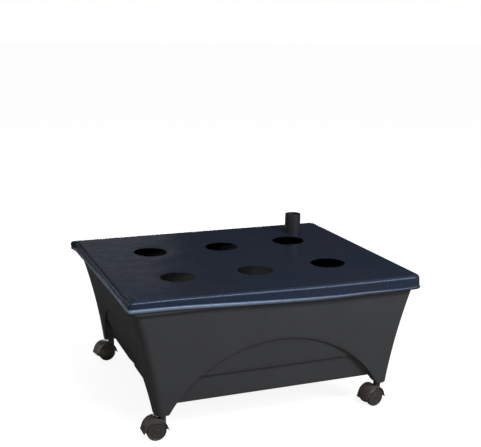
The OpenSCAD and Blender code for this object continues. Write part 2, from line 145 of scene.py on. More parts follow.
class PlanterColours(bpy.types.PropertyGroup):
    """Colours of the planter"""
    tub: colour("Tub", "Charcoal polypropylene", "3f4042")
    film: colour("Film", "Dark navy polyethylene", "253041")
    film_cast: colour("Film cast", "The film where it is cloudy, with a cast of purple", "34303f")
    film_sheen: colour("Film sheen", "Tint of the film's reflections", "c4d8ff")
    # A painted highlight: the hem's paler colour stands in for the light caught on its upper side
    hem: colour("Highlighted hem", "The same film where it is gathered round its elastic", "7686a2")
    elastic: colour("Elastic", "Woven elastic in the hem", "22242a")
    screen: colour("Screen", "Black polypropylene", "26282b")
    tube: colour("Fill tube", "Black pipe", "2b2d30")
    caster: colour("Caster", "Warm black nylon", "544e4b")
    wheel: colour("Wheel", "Warm dark grey nylon", "3e3938")
    steel: colour("Steel", "Zinc-plated steel", "9c9ea1")


# ---------------------------------------------------------------- materials

FIRST, SECOND, MIXED = 6, 7, 2  # a Mix node's two colour inputs and its colour output, by number


def add_node(tree, kind, inputs=None, **settings):
    """A shader node with its settings; an input is given as a value, a socket or a node's first output."""
    made = tree.nodes.new("ShaderNode" + kind)
    for name, value in settings.items():
        setattr(made, name, value)
    for name, value in (inputs or {}).items():
        if isinstance(value, bpy.types.Node):
            value = value.outputs[0]
        if isinstance(value, bpy.types.NodeSocket):
            tree.links.new(value, made.inputs[name])
        else:
            made.inputs[name].default_value = value
    return made


def new_material(name):
    """An empty node material, its tree and the object's coordinates."""
    material = bpy.data.materials.new(name)
    material.use_nodes = True
    tree = material.node_tree
    tree.nodes.clear()
    return material, tree, add_node(tree, "TexCoord").outputs["Object"]


def finished(material, surface):
    """The material with a shader that has these inputs."""
    shader = add_node(material.node_tree, "BsdfPrincipled", surface)
    add_node(material.node_tree, "OutputMaterial", {"Surface": shader})
    return material


def shade(base, amount):
    """A colour made lighter or darker, as one multiple."""
    return [min(1.0, c * amount) for c in base[:3]] + [1.0]


def moulded_polypropylene(name, base, grain):
    """Polypropylene from a spark-eroded mould: an even matt grain, slightly cloudy, with a few scuffs."""
    material, tree, place = new_material(name)
    upright = add_node(tree, "Mapping", {"Vector": place, "Scale": (1.0, 1.0, 0.4)})
    clouds = add_node(tree, "TexNoise", {"Vector": place, "Scale": 1 / (90 * MM), "Detail": 4})
    scuffs = add_node(tree, "TexNoise", {"Vector": upright, "Scale": 1 / (30 * MM), "Detail": 6})
    polish = add_node(tree, "TexNoise", {"Vector": place, "Scale": 1 / (30 * MM), "Detail": 5})
    # The mould's grain is about 0.2 mm in real life, and is drawn coarser so that it shows
    pits = add_node(tree, "TexNoise", {"Vector": place, "Scale": 1 / grain, "Detail": 2})
    cloudy = add_node(tree, "MapRange", {"Value": clouds, "From Min": 0.35, "From Max": 0.65})
    scuffed = add_node(tree, "MapRange", {"Value": scuffs, "From Min": 0.66, "From Max": 0.8})
    body = add_node(tree, "Mix", {"Factor": cloudy, FIRST: shade(base, 0.95), SECOND: shade(base, 1.05)},
                    data_type="RGBA").outputs[MIXED]
    worn = add_node(tree, "Mix", {"Factor": scuffed, FIRST: body, SECOND: shade(base, 1.1)},
                    data_type="RGBA")
    grained = add_node(tree, "Bump", {"Height": pits, "Distance": 0.05 * MM})
    return finished(material, {
        "Base Color": worn.outputs[MIXED],
        "Roughness": add_node(tree, "MapRange", {
            "Value": polish, "From Min": 0.3, "From Max": 0.7, "To Min": 0.46, "To Max": 0.55}),
        "IOR": 1.49,
        "Normal": add_node(tree, "Bump", {"Height": clouds, "Distance": 1.2 * MM, "Normal": grained}),
    })


def blown_film(name, colours, cover):
    """Blown polyethylene with a soft sheen: creased by the roll, cloudy, with a painted highlight on its hem."""
    material, tree, place = new_material(name)
    drawn = add_node(tree, "Mapping", {"Vector": place, "Scale": (0.5, 1.0, 1.0)})
    clouds = add_node(tree, "TexNoise", {"Vector": place, "Scale": 1 / (120 * MM), "Detail": 3})
    creases = add_node(tree, "TexNoise", {"Vector": drawn, "Scale": 1 / (14 * MM), "Detail": 5})
    tinged = add_node(tree, "MapRange", {"Value": clouds, "From Min": 0.4, "From Max": 0.7, "To Max": 0.5})
    body = add_node(tree, "Mix", {"Factor": tinged, FIRST: colours.film, SECOND: colours.film_cast},
                    data_type="RGBA").outputs[MIXED]

    # Painted highlight on the hem: the paler hem colour below an edge that runs down from the front left corner,
    # fading along the front
    axes = add_node(tree, "SeparateXYZ", {"Vector": place}).outputs
    along = add_node(tree, "Math", {0: axes["Y"], 1: HEM_SIDE, 2: axes["X"]}, operation="MULTIPLY_ADD")
    start = -COVER_HIGH.x - HEM_SIDE * COVER_HIGH.y
    edge = add_node(tree, "MapRange", {
        "Value": along, "From Min": start, "From Max": start + HEM_RUN,
        "To Min": LIP_Z + cover.bead_loose + cover.ride_up, "To Max": LIP_Z + cover.bead_loose - cover.hang},
        interpolation_type="SMOOTHSTEP")
    below = add_node(tree, "Math", {0: edge, 1: axes["Z"]}, operation="SUBTRACT")
    in_hem = add_node(tree, "MapRange", {"Value": below, "From Min": -1 * MM, "From Max": 1 * MM})
    # How strong the painted highlight on the hem is, fading along the front
    pale = add_node(tree, "MapRange", {
        "Value": along, "From Min": start + HIGHLIGHT_FROM * HEM_RUN, "From Max": start + HIGHLIGHT_TO * HEM_RUN,
        "To Min": 1, "To Max": 0})
    # Where the hem's painted highlight lies, and how strong it is
    highlighted = add_node(tree, "Math", {0: in_hem, 1: pale}, operation="MULTIPLY")
    film = add_node(tree, "Mix", {"Factor": highlighted, FIRST: body, SECOND: colours.hem}, data_type="RGBA")
    creased = add_node(tree, "Bump", {"Height": creases, "Distance": 0.14 * MM})
    return finished(material, {
        "Base Color": film.outputs[MIXED],
        "Roughness": add_node(tree, "MapRange", {
            "Value": creases, "From Min": 0.3, "From Max": 0.7, "To Min": 0.22, "To Max": 0.34}),
        "IOR": 1.51,
        "Specular Tint": colours.film_sheen,
        "Normal": add_node(tree, "Bump", {"Height": clouds, "Distance": 1.5 * MM, "Normal": creased}),
    })


def moulded_nylon(name, base, rough):
    """Moulded nylon: satin, with faint flow marks and dusty scratches from the floor."""
    material, tree, place = new_material(name)
    upright = add_node(tree, "Mapping", {"Vector": place, "Scale": (1.0, 1.0, 0.3)})
    flow = add_node(tree, "TexNoise", {"Vector": place, "Scale": 1 / (9 * MM), "Detail": 4})
    scratches = add_node(tree, "TexNoise", {"Vector": upright, "Scale": 1 / (3 * MM), "Detail": 5})
    # The mould's grain is about 0.2 mm in real life, and is drawn coarser so that it shows
    pits = add_node(tree, "TexNoise", {"Vector": place, "Scale": 1 / (0.8 * MM), "Detail": 2})
    flowed = add_node(tree, "MapRange", {"Value": flow, "From Min": 0.3, "From Max": 0.7})
    scratched = add_node(tree, "MapRange", {"Value": scratches, "From Min": 0.6, "From Max": 0.72})
    body = add_node(tree, "Mix", {"Factor": flowed, FIRST: shade(base, 0.9), SECOND: shade(base, 1.1)},
                    data_type="RGBA").outputs[MIXED]
    worn = add_node(tree, "Mix", {"Factor": scratched, FIRST: body, SECOND: shade(base, 1.35)},
                    data_type="RGBA")
    grained = add_node(tree, "Bump", {"Height": pits, "Distance": 0.03 * MM})
    return finished(material, {
        "Base Color": worn.outputs[MIXED],
        "Roughness": add_node(tree, "MapRange", {
            "Value": flow, "From Min": 0.3, "From Max": 0.7,
            "To Min": rough - 0.05, "To Max": rough + 0.08}),
        "IOR": 1.53,
        "Normal": add_node(tree, "Bump", {"Height": flow, "Distance": 0.1 * MM, "Normal": grained}),
    })


def extruded_pipe(name, base):
    """Extruded plastic pipe: satin, with faint lines along its length from the die."""
    material, tree, place = new_material(name)
    lengthwise = add_node(tree, "Mapping", {"Vector": place, "Scale": (1.0, 1.0, 0.01)})
    # The die's lines are about 0.3 mm apart in real life, and are drawn coarser so that they show
    lines = add_node(tree, "TexNoise", {"Vector": lengthwise, "Scale": 1 / (2 * MM), "Detail": 3})
    clouds = add_node(tree, "TexNoise", {"Vector": place, "Scale": 1 / (40 * MM), "Detail": 4})
    body = add_node(tree, "Mix", {"Factor": clouds, FIRST: shade(base, 0.92), SECOND: shade(base, 1.08)},
                    data_type="RGBA")
    return finished(material, {
        "Base Color": body.outputs[MIXED],
        "Roughness": add_node(tree, "MapRange", {
            "Value": lines, "From Min": 0.3, "From Max": 0.7, "To Min": 0.34, "To Max": 0.44}),
        "Normal": add_node(tree, "Bump", {"Height": lines, "Distance": 0.04 * MM}),
    })


def zinc_plate(name, base):
    """Steel turned and zinc-plated: bright, slightly mottled by the plating."""
    material, tree, place = new_material(name)
    mottle = add_node(tree, "TexNoise", {"Vector": place, "Scale": 1 / (1.5 * MM), "Detail": 4})
    plating = add_node(tree, "Mix", {"Factor": mottle, FIRST: shade(base, 0.85), SECOND: shade(base, 1.1)},
                       data_type="RGBA")
    return finished(material, {
        "Base Color": plating.outputs[MIXED],
        "Metallic": 1.0,
        "Roughness": add_node(tree, "MapRange", {
            "Value": mottle, "From Min": 0.3, "From Max": 0.7, "To Min": 0.26, "To Max": 0.4}),
        "Normal": add_node(tree, "Bump", {"Height": mottle, "Distance": 0.02 * MM}),
    })


def woven_elastic(name, base):
    """Woven elastic: a close, slightly uneven weave with its threads about 1 mm apart."""
    material, tree, place = new_material(name)
    weave = add_node(tree, "TexNoise", {"Vector": place, "Scale": 1 / (1 * MM), "Detail": 2})
    threads = add_node(tree, "Mix", {"Factor": weave, FIRST: shade(base, 0.7), SECOND: shade(base, 1.3)},
                       data_type="RGBA")
    return finished(material, {
        "Base Color": threads.outputs[MIXED],
        "Roughness": 0.85,
        "Sheen Weight": 0.2,
        "Normal": add_node(tree, "Bump", {"Height": weave, "Distance": 0.2 * MM}),
    })


def make_materials(colours, cover):
    """Every material of the planter, by what it is used on."""
    return {
        "tub": moulded_polypropylene("Moulded polypropylene charcoal", colours.tub, 1.3 * MM),
        "film": blown_film("Blown polyethylene navy", colours, cover),
        "elastic": woven_elastic("Woven elastic", colours.elastic),
        "screen": moulded_polypropylene("Moulded polypropylene black", colours.screen, 1.0 * MM),
        "tube": extruded_pipe("Extruded pipe black", colours.tube),
        "caster": moulded_nylon("Moulded nylon warm black", colours.caster, 0.45),
        "wheel": moulded_nylon("Moulded nylon wheel grey", colours.wheel, 0.4),
        "steel": zinc_plate("Zinc-plated steel", colours.steel),
    }


# ---------------------------------------------------------------- mesh tools

def patch(bm, columns, rows, place):
    """A grid of faces; place(a, b) says where each corner goes, with a and b from 0 to 1."""
    grid = bmesh.ops.create_grid(bm, x_segments=columns, y_segments=rows, size=0.5)
    for vertex in grid["verts"]:
        vertex.co = place(vertex.co.x + 0.5, vertex.co.y + 0.5)


def weld(bm, reach=0.02 * MM):
    """Joins the corners of neighbouring patches."""
    bmesh.ops.remove_doubles(bm, verts=bm.verts, dist=reach)
    bmesh.ops.dissolve_degenerate(bm, edges=bm.edges, dist=reach)


def round_edges(bm, width, angle, segments=2, chosen=lambda edge: True):
    """Rounds the chosen edges that are sharper than angle."""
    sharp = [e for e in bm.edges if len(e.link_faces) == 2 and e.calc_face_angle(0) > angle and chosen(e)]
    bmesh.ops.bevel(bm, geom=sharp, affect="EDGES", offset=width, offset_type="OFFSET", segments=segments,
                    profile=0.5, material=-1)


def add_piece(name, bm, material, node, smooth=math.radians(35)):
    """A finished piece from a bmesh, in place of the CAD node that it stands for."""
    mesh = bpy.data.meshes.new(name)
    bm.to_mesh(mesh)
    bm.free()
    mesh.shade_smooth()
    mesh.set_sharp_from_angle(angle=smooth)
    mesh.materials.append(material)
    piece = bpy.data.objects.new(name, mesh)
    bpy.context.scene.collection.objects.link(piece)
    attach(piece, BODY_OF[node])
    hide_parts(node)
    return piece


def cut(piece, bm, operation="DIFFERENCE"):
    """Cuts the closed shapes of a bmesh out of a piece, or joins them to it."""
    mesh = bpy.data.meshes.new("tool")
    bm.to_mesh(mesh)
    bm.free()
    tool = bpy.data.objects.new("tool", mesh)
    bpy.context.scene.collection.objects.link(tool)
    boolean = piece.modifiers.new("Cut", "BOOLEAN")
    boolean.operation = operation
    boolean.solver = "EXACT"
    boolean.object = tool
    bpy.context.view_layer.update()
    graph = bpy.context.evaluated_depsgraph_get()
    solid = bpy.data.meshes.new_from_object(piece.evaluated_get(graph))
    piece.modifiers.clear()
    piece.data = solid
    bpy.data.objects.remove(tool)


def add_drum(bm, radius, low, high, place):
    """A closed cylinder along Z between two heights, then put in place."""
    bmesh.ops.create_cone(bm, cap_ends=True, segments=64, radius1=radius, radius2=radius,
                          depth=high - low, matrix=place @ Matrix.Translation((0, 0, (low + high) / 2)))


def add_box(bm, low, high):
    """A closed box between two corners."""
    low, high = Vector(low), Vector(high)
    bmesh.ops.create_cube(bm, size=1, matrix=Matrix.Translation((low + high) / 2)
                          @ Matrix.Diagonal((*(high - low), 1)))


def add_wedge(bm, reaches, outline):
    """A closed prism along X with (along, height) corners, between two places on X for each of them."""
    rings = [[bm.verts.new((reach[side], y, z)) for reach, (y, z) in zip(reaches, outline)]
             for side in (0, 1)]
    made = [bm.faces.new(ring) for ring in rings]
    count = len(outline)
    for i in range(count):
        j = (i + 1) % count
        made.append(bm.faces.new((rings[0][i], rings[0][j], rings[1][j], rings[1][i])))
    bmesh.ops.recalc_face_normals(bm, faces=made)


def turned(points, steps=64):
    """A closed shape turned about Z from (radius, height) points that start and end on the axis or meet."""
    bm = bmesh.new()
    verts = [bm.verts.new((radius, 0, height)) for radius, height in points]
    edges = [bm.edges.new(pair) for pair in zip(verts, verts[1:])]
    bmesh.ops.spin(bm, geom=verts + edges, cent=(0, 0, 0), axis=(0, 0, 1), angle=2 * math.pi, steps=steps,
                   use_merge=True)
    weld(bm)
    bmesh.ops.recalc_face_normals(bm, faces=bm.faces)
    return bm


def softened(points, radius, steps=3):
    """The points with each corner that isn't on the axis rounded by up to radius."""
    made = [points[0]]
    for before, corner, after in zip(points, points[1:], points[2:]):
        before, corner, after = Vector(before), Vector(corner), Vector(after)
        reach = min(radius, (before - corner).length * 0.45, (after - corner).length * 0.45)
        start = corner + (before - corner).normalized() * reach
        end = corner + (after - corner).normalized() * reach
        for step in range(steps + 1):
            t = step / steps
            made.append(tuple(start * (1 - t) ** 2 + corner * 2 * t * (1 - t) + end * t ** 2))
    return made + [points[-1]]


def copy_of_node(node):
    """The mesh of a CAD node as a bmesh, with its loose triangles joined and its flat faces whole."""
    bm = bmesh.new()
    bm.from_mesh(frame["nodes"][node].data)
    weld(bm, 0.005 * MM)
    bmesh.ops.dissolve_limit(bm, angle_limit=math.radians(0.5), verts=bm.verts, edges=bm.edges)
    return bm


# ---------------------------------------------------------------- the tub

SLANT = 3     # steps up a leg's slanted edge
LOW = 5       # steps along the arch from the floor to the crease
MIDDLE = 6    # steps on to where the wall's grid turns its corner
TURN = 0.74   # that corner's angle from the arch's top, as a share of the crease's
TOP = 24      # steps over the top of the arch
ACROSS = 12   # steps from the arch out to the wall's edge
ARC = 8       # steps round an upright corner
LEG = SLANT + LOW + MIDDLE
AROUND = 2 * LEG + TOP


class Wall:
    """One wall of the tub, drawn as if it faced -Y and turned by quarters to its place."""

    def __init__(self, size, quarter):
        long_side = quarter % 2 == 0
        self.size = size
        self.turn = Matrix.Rotation(quarter * math.pi / 2, 3, "Z")
        self.half = TUB_HIGH.x if long_side else TUB_HIGH.y
        self.reach = TUB_HIGH.y if long_side else TUB_HIGH.x
        own, other = (size.front_flare, size.front_bow), (size.side_flare, size.side_bow)
        self.own, self.other = (own, other) if long_side else (other, own)
        self.foot = size.foot_long if long_side else size.foot_short
        self.radius = size.front_arch if long_side else size.side_arch
        self.depth_crease = size.front_panel_crease if long_side else size.side_panel_crease
        self.depth_foot = size.front_panel_foot if long_side else size.side_panel_foot
        self.lip_z = RIM_Z - size.lip_height
        self.floor_z = FOOT_Z + size.leg
        self.crease_z = self.floor_z + size.crease
        self.arch_z = self.floor_z + size.arch
        self.outline = self.make_outline()

    def at(self, along, out, z):
        """The place that lies along the wall and out from the middle, at height z."""
        return self.turn @ Vector((along, -out, z))

    def inset(self, z, flare, bow):
        """How far the skin stands in from the rim's edge at height z."""
        t = max(0.0, (self.lip_z - z) / (self.lip_z - FOOT_Z))
        return self.size.lip_inset + flare * (t + bow * t * (1 - t))

    def face(self, z):
        """Distance of the outer skin from the middle at height z."""
        return self.reach - self.inset(z, *self.own)

    def end(self, z):
        """Half length of the wall at height z, over its corners."""
        return self.half - self.inset(z, *self.other)

    def panel(self, z, below):
        """Distance of the sunk panel from the middle, below or above the crease."""
        top = self.face(self.arch_z) - self.size.panel_top
        crease = self.face(self.crease_z) - self.depth_crease
        foot = self.face(self.floor_z) - self.depth_foot
        if below:
            share = (z - self.floor_z) / self.size.crease
            return foot + (crease - self.size.ledge - foot) * share
        share = (z - self.crease_z) / (self.arch_z - self.crease_z)
        return crease + (top - crease) * share

    def make_outline(self):
        """(along, height) points of the opening's edge, from the left foot over the arch to the right."""
        centre = self.arch_z - self.radius
        angle_at = [math.acos((z - centre) / self.radius) for z in (self.floor_z, self.crease_z)]
        angle_turn = angle_at[1] * TURN
        span = self.radius * math.sin(angle_at[0])
        foot_end = self.end(FOOT_Z) - self.foot
        half = [(foot_end + (span - foot_end) * i / SLANT, FOOT_Z + self.size.leg * i / SLANT)
                for i in range(SLANT)]
        stretches = ((angle_at[0], angle_at[1], LOW), (angle_at[1], angle_turn, MIDDLE),
                     (angle_turn, 0, TOP // 2))
        for start, end, steps in stretches:
            for i in range(steps):
                angle = start + (end - start) * i / steps
                half.append((self.radius * math.sin(angle), centre + self.radius * math.cos(angle)))
        left = [(-along, z) for along, z in half]
        return left + [(0.0, self.arch_z)] + half[::-1]

    def outer(self, k):
        """(along, height) of the wall's own edge, opposite point k of the outline."""
        if k > AROUND / 2:
            along, z = self.outer(AROUND - k)
            return -along, z
        if k <= LEG:
            z = FOOT_Z + (self.lip_z - FOOT_Z) * k / LEG
            return -(self.end(z) - self.size.corner), z
        share = (k - LEG) / TOP
        return (2 * share - 1) * (self.end(self.lip_z) - self.size.corner), self.lip_z


def rim_profile(size):
    """(inset, corner radius, height) of the skin from the wall's top over to the lip's bottom edge."""
    lip_z, under = RIM_Z - size.lip_height, RIM_Z - size.wall
    wall, lip = size.lip_inset, size.wall
    outline = [(wall, lip_z), (wall, under - 1 * MM), (wall - 0.3 * MM, under - 0.3 * MM),
               (wall - 1 * MM, under), (lip + 2.6 * MM, under), (lip + 1.3 * MM, under - 0.35 * MM),
               (lip + 0.35 * MM, under - 1.3 * MM), (lip, under - 2.6 * MM), (lip, lip_z)]
    spread = size.wall / (wall - lip)
    return [(inset, size.corner - (size.lip_inset - inset) * spread, z) for inset, z in outline]


def add_wall(bm, wall, neighbour):
    """The patches of one wall with its sunk panel, the corner after it and its stretch of rim."""
    size = wall.size
    outline = wall.outline

    def skin(a, b):
        k = round(a * AROUND)
        start, end = outline[k], wall.outer(k)
        along, z = (s + (e - s) * b for s, e in zip(start, end))
        return wall.at(along, wall.face(z), z)

    def corner(a, b):
        z = FOOT_Z + (wall.lip_z - FOOT_Z) * round(b * LEG) / LEG
        turn = (a - 1) * math.pi / 2
        along = wall.end(z) - size.corner * (1 - math.cos(turn))
        return wall.at(along, wall.face(z) - size.corner * (1 + math.sin(turn)), z)

    def step(first, last, stops, below):
        def place(a, b):
            along, z = outline[first + round(a * (last - first))]
            outs = [wall.face(z)] + [wall.panel(z, below) + more for more in stops]
            return wall.at(along, outs[round(b * len(stops))], z)
        return place

    def upper_panel(a, b):
        along, z = outline[SLANT + LOW + round(a * (AROUND - 2 * (SLANT + LOW)))]
        crease = outline[SLANT + LOW][0] * (1 - 2 * a)
        z = wall.crease_z + (z - wall.crease_z) * b
        return wall.at(crease + (along - crease) * b, wall.panel(z, False), z)

    def lower_panel(a, b):
        along, z = outline[SLANT + round(b * LOW)]
        return wall.at(along * (1 - 2 * a), wall.panel(z, True), z)

    def crease_ledge(a, b):
        out = wall.panel(wall.crease_z, True) + size.ledge * b
        return wall.at(outline[SLANT + LOW][0] * (1 - 2 * a), out, wall.crease_z)

    def gate(side):
        def place(a, b):
            k = round(b * SLANT)
            along, z = outline[k]
            skin_out, inner = wall.face(wall.floor_z), abs(neighbour.outline[SLANT][0])
            panel = wall.panel(wall.floor_z, True)
            stops = [skin_out, panel + size.ledge, panel, inner]
            share = (skin_out - stops[round(a * 3)]) / (skin_out - inner)
            out = wall.face(z) + (abs(neighbour.outline[k][0]) - wall.face(z)) * share
            return wall.at(along * side, out, z)
        return place

    profile = rim_profile(size)

    def rim(a, b):
        inset, radius, z = profile[round(b * (len(profile) - 1))]
        return wall.at((2 * a - 1) * (wall.half - inset - radius), wall.reach - inset, z)

    def rim_corner(a, b):
        inset, radius, z = profile[round(b * (len(profile) - 1))]
        turn = (a - 1) * math.pi / 2
        along = wall.half - inset - radius * (1 - math.cos(turn))
        return wall.at(along, wall.reach - inset - radius * (1 + math.sin(turn)), z)

    crease_first, crease_last = SLANT + LOW, AROUND - SLANT - LOW
    patch(bm, AROUND, ACROSS, skin)
    patch(bm, ARC, LEG, corner)
    patch(bm, LOW, 2, step(SLANT, crease_first, (size.ledge, 0), True))
    patch(bm, LOW, 2, step(crease_last, AROUND - SLANT, (size.ledge, 0), True))
    patch(bm, crease_last - crease_first, 1, step(crease_first, crease_last, (0,), False))
    patch(bm, crease_last - crease_first, 5, upper_panel)
    patch(bm, crease_last - crease_first, LOW, lower_panel)
    patch(bm, crease_last - crease_first, 1, crease_ledge)
    for side in (1, -1):
        patch(bm, 3, SLANT, gate(side))
    patch(bm, TOP, len(profile) - 1, rim)
    patch(bm, ARC, len(profile) - 1, rim_corner)


def make_tub(size, material):
    """The moulding: its outer skin from patches, then the wall's thickness, sockets, collar and holes."""
    walls = [Wall(size, quarter) for quarter in range(4)]
    front, right = walls[0], walls[1]
    bm = bmesh.new()
    for quarter, wall in enumerate(walls):
        add_wall(bm, wall, walls[(quarter + 1) % 4])
    weld(bm)
    open_edges = [edge for edge in bm.edges if edge.is_boundary and edge.verts[0].co.z < front.crease_z]
    bmesh.ops.holes_fill(bm, edges=open_edges, sides=0)
    bmesh.ops.recalc_face_normals(bm, faces=bm.faces)
    lowest = min(bm.faces, key=lambda face: face.calc_center_median().z)
    if lowest.normal.z > 0:
        bmesh.ops.reverse_faces(bm, faces=bm.faces)
    skin = set(bm.faces)

    def below_lip(edge):
        return skin.issuperset(edge.link_faces) and max(vertex.co.z for vertex in edge.verts) < front.lip_z

    bmesh.ops.solidify(bm, geom=list(bm.faces), thickness=size.wall)
    round_edges(bm, size.edge, math.radians(20), 3, below_lip)
    piece = add_piece("planter_tub", bm, material, "tub", smooth=math.radians(30))

    sockets, bores = bmesh.new(), bmesh.new()
    for corner in CORNERS:
        low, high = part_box(corner + "_stem")
        centre = Matrix.Translation(((low.x + high.x) / 2, (low.y + high.y) / 2, 0))
        add_drum(sockets, size.socket + size.socket_wall, FOOT_Z + 0.2 * MM, high.z + 4 * MM, centre)
        add_drum(bores, size.socket, FOOT_Z - 1 * MM, high.z + 1 * MM, centre)
    height = front.floor_z + size.overflow_height
    panel = -right.panel(height, True)
    level = Matrix.Translation((panel, 0, height)) @ Matrix.Rotation(math.pi / 2, 4, "Y")
    add_drum(sockets, size.overflow_radius + size.wall, size.wall / 2, size.overflow_collar, level)
    add_drum(bores, size.overflow_radius, -size.side_flare, size.overflow_collar + 1 * MM, level)
    for side in (-1, 1):
        x = side * right.panel(front.floor_z, True)
        start, end = -size.notch_place, size.notch_long - size.notch_place
        top, floor, end_x = front.floor_z + size.notch_high, front.floor_z, x - side * size.notch_deep
        outline = ((start, floor - 1 * MM), (end, floor - 1 * MM), (end, floor), (start, top))
        add_wedge(bores, [(x + side * size.side_flare, end_x)] * 4, outline)
        outline = ((start - size.wall, floor + 0.2 * MM), (end + size.wall, floor + 0.2 * MM),
                   (end + size.wall, floor + size.wall), (start - size.wall, top + size.wall))
        add_wedge(sockets, [(side * (right.panel(z, True) - size.wall / 2), end_x - side * size.wall)
                            for _, z in outline], outline)
    cut(piece, sockets, "UNION")
    cut(piece, bores)


# ---------------------------------------------------------------- the film cover

FLAT = 3         # steps over the rim's flat top
SHOULDER = 6     # steps round the shoulder
FACE = 6         # steps down the lip
LOOP = 14        # steps round the hem
BAND = 10        # steps round the elastic
FILM_LONG = 66   # steps along the front
FILM_SHORT = 54  # steps along the side
FILM_ARC = 26    # steps round a corner

FLATTENED = 0.6       # width over height of the loose hem
LIP_IN = 1 * MM       # from the cover's outer side in to the lip
HEM_CLEAR = 0.4 * MM  # between the loose hem and the lip
HEM_TUCK = 1.5 * MM   # how far in from the lip the tucked hem's middle is
TUBE_CLEAR = 1 * MM   # between the fill tube and its hole in the film
LIFT_RUN = 80 * MM    # how far back from the front edge the film stands up off the rim
LOOSE_TO, TUCKED_FROM = 1.2, 1.7  # where the hem stops hanging loose, as shares of HEM_RUN
WANDER, WANDER_RUN = 0.7 * MM, 70 * MM  # how far the hem's height wanders, and over what distance

WRINKLE_RUN = 16 * MM   # size of the pull wrinkles down the lip
WRINKLE_DROP = 20 * MM  # how far below the film's top they reach their full depth
PLEAT_REACH = 45 * MM   # how far the pleats run from a corner
PLEATS, PLEAT_SHARE = 26, 1.3  # pleats to a full turn, and their depth as a share of the wrinkles'
SWELL, SWELL_RUN = 1.2 * MM, 60 * MM     # depth and size of the film's slow waves over the tub
RUFFLE, RUFFLE_RUN = 0.35 * MM, 25 * MM  # depth and size of the quick ones
DIP, DIP_RUN = 1.6 * MM, 11 * MM  # how far the film dips at a planting hole, and over what distance


